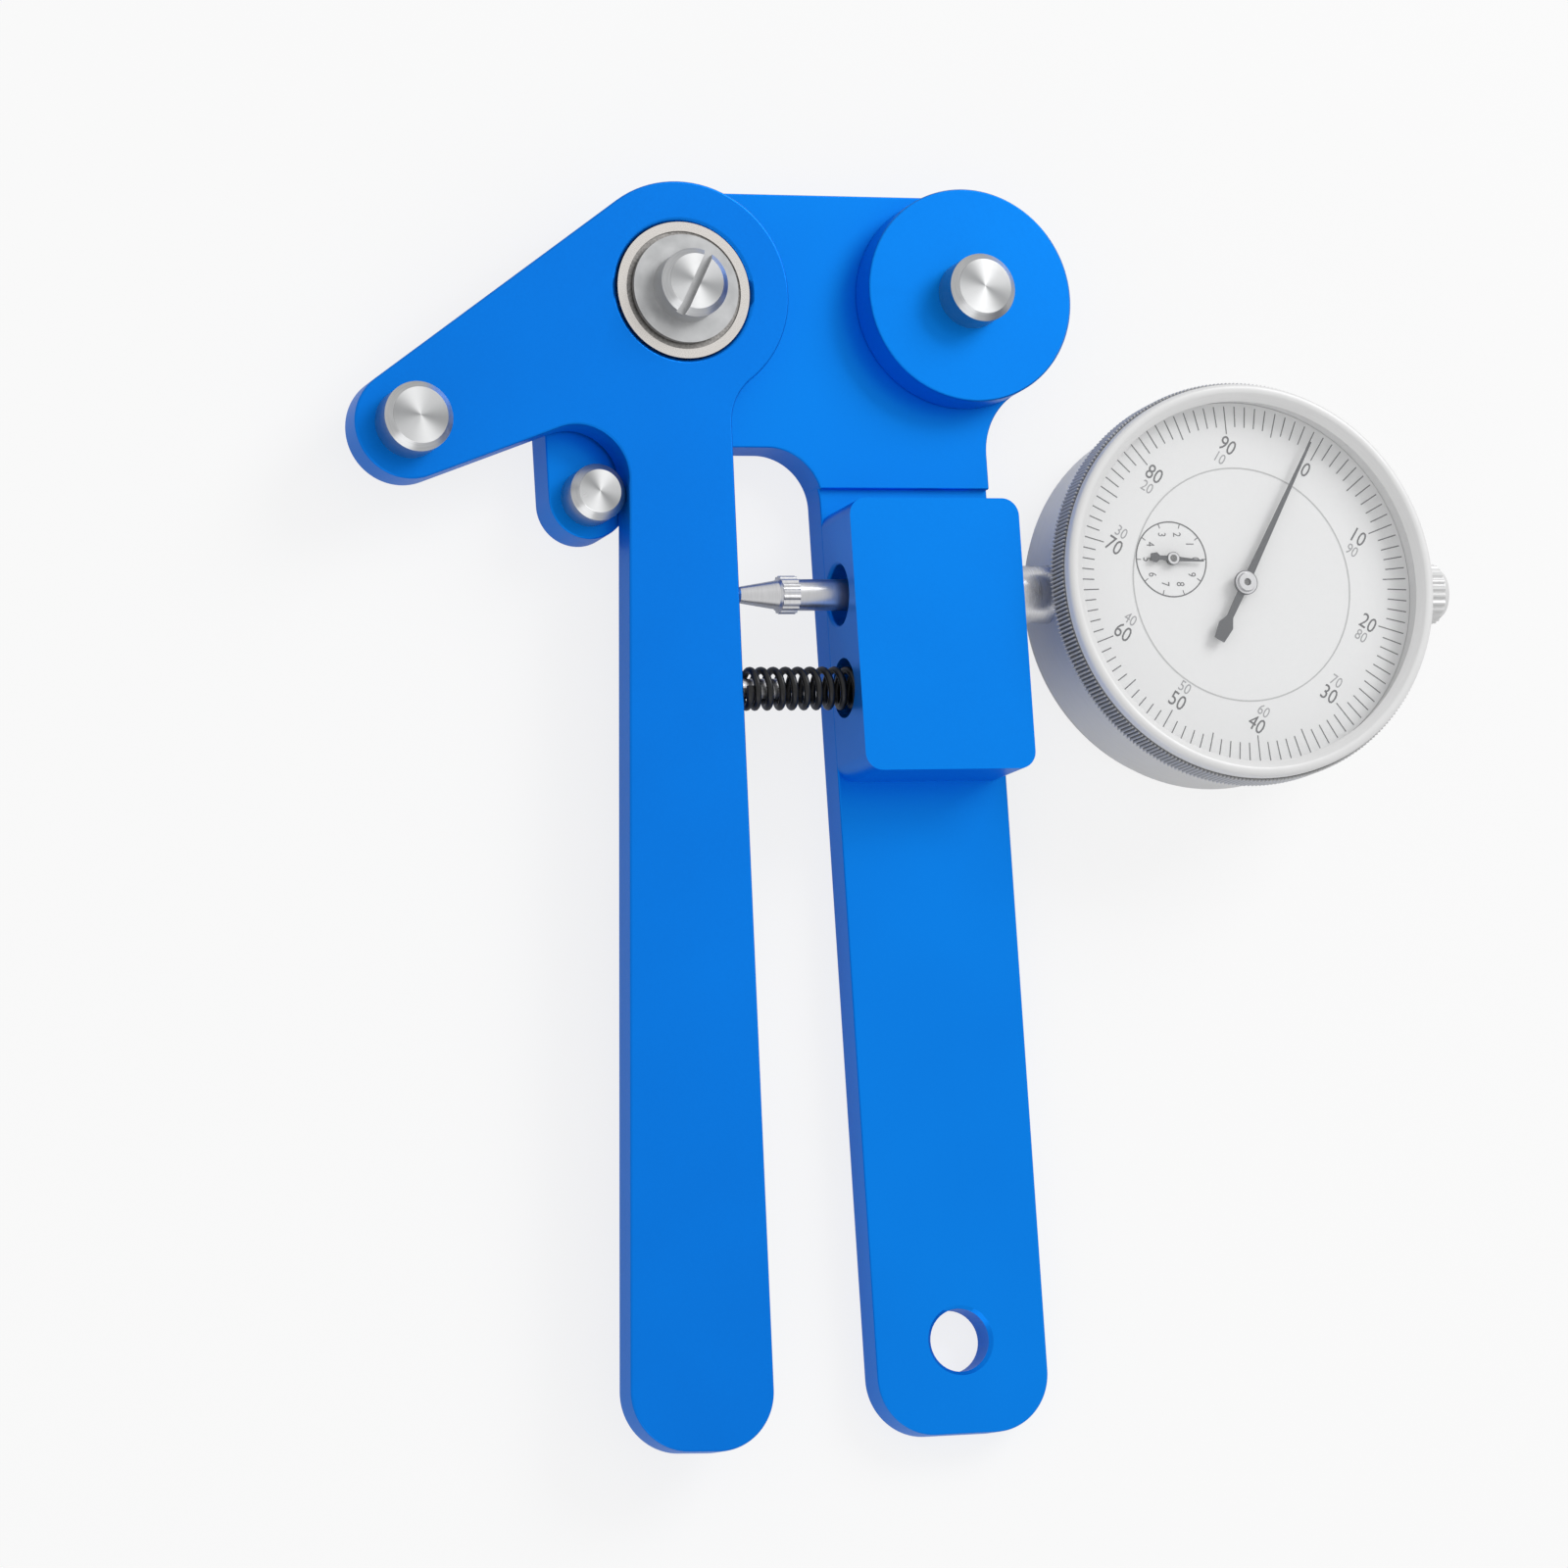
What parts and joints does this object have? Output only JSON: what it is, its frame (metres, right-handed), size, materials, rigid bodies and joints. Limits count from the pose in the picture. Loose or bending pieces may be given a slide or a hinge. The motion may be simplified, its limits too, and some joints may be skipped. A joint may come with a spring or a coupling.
{
  "type": "spoke tension meter",
  "caption": "Hand-held spoke tension meter: two long blue grips pivot on a ball bearing, three round posts flex the spoke, and a dial gauge reads how far the lever moves.",
  "frame": {"origin": "on the lever's pivot axis, on the frame plate's flat back face, with the tool lying on its back", "axes": "+X along the gauge's plunger away from the lever, +Y up the grips towards the pivot end, +Z out of the dial"},
  "size_m": [0.1588, 0.1721, 0.021],
  "materials": {
    "blue_anodised": "satin blue anodised",
    "turned_steel": "faced on a lathe",
    "bearing_steel": "ground bearing steel",
    "shield_black": "dark shield",
    "cage_polymer": "moulded cage",
    "spring_black": "blackened spring wire",
    "screw_black": "black oxide",
    "gauge_steel": "ground steel",
    "case_silver": "satin silver",
    "bezel_white": "pale satin plating",
    "movement_brass": "machined brass",
    "dial_white": "white dial lacquer",
    "hand_dark": "dark lacquer",
    "crystal_clear": "clear lens"
  },
  "bodies": {
    "frame": {"frame_plate": "blue_anodised", "spacer_disc": "blue_anodised", "right_spoke_post": "turned_steel", "stop_post": "turned_steel", "pivot_post": "turned_steel", "pivot_shim": "turned_steel", "bearing_inner_ring": "bearing_steel", "return_spring": "spring_black", "gauge_block": "blue_anodised", "block_screws": "screw_black", "stem_grub_screw": "screw_black", "gauge_stem": "gauge_steel", "gauge_case": "case_silver", "case_back_cover": "case_silver", "cover_screws": "gauge_steel", "cap_sleeve": "gauge_steel", "lower_movement_plate": "movement_brass", "upper_movement_plate": "movement_brass", "fixed_dial": "dial_white"},
    "lever": {"lever_plate": "blue_anodised", "left_spoke_post": "turned_steel", "spring_guide_pin": "turned_steel", "bearing_outer_ring": "bearing_steel", "bearing_shield": "shield_black"},
    "ball_set": {"bearing_balls": "bearing_steel", "ball_cage": "cage_polymer"},
    "plunger": {"spindle": "gauge_steel", "contact_point": "gauge_steel", "spindle_cap": "bezel_white"},
    "wheel": {"rack_pinion_wheel": "movement_brass", "small_pointer": "hand_dark"},
    "pointer": {"centre_pinion": "movement_brass", "main_pointer": "hand_dark"},
    "bezel": {"bezel": "bezel_white", "crystal": "crystal_clear", "graduated_ring": "dial_white"}
  },
  "joints": [
    {"name": "lever_hinge", "type": "hinge", "parent": "frame", "child": "lever", "pos_m": [0, 0, 0.0089], "axis": [0, 0, 1], "range_deg": [0, 6.8], "stiffness_Nm_per_rad": 18, "springref_deg": -1.72, "deforming": ["return_spring"]},
    {"name": "ball_orbit", "type": "hinge", "parent": "frame", "child": "ball_set", "pos_m": [0, 0, 0.0089], "axis": [0, 0, 1], "range_deg": [0, 4.21]},
    {"name": "plunger_slide", "type": "slide", "parent": "frame", "child": "plunger", "axis": [1, 0, 0], "range_m": [0, 0.00505]},
    {"name": "wheel_spin", "type": "hinge", "parent": "frame", "child": "wheel", "pos_m": [0.06677, -0.0382, 0.0132], "axis": [0, 0, 1], "range_deg": [0, 180.9]},
    {"name": "pointer_spin", "type": "hinge", "parent": "frame", "child": "pointer", "pos_m": [0.0772, -0.0417, 0.0132], "axis": [0, 0, 1], "range_deg": [-1807, 0]},
    {"name": "bezel_turn", "type": "hinge", "parent": "frame", "child": "bezel", "pos_m": [0.0772, -0.0417, 0.017], "axis": [0, 0, 1], "continuous": true}
  ],
  "couplings": [
    {"joint": "ball_orbit", "follows": "lever_hinge", "ratio": 0.6111},
    {"joint": "plunger_slide", "follows": "lever_hinge", "m_per_rad": 0.0421},
    {"joint": "wheel_spin", "follows": "lever_hinge", "ratio": 26.452},
    {"joint": "pointer_spin", "follows": "lever_hinge", "ratio": -264.52}
  ]
}
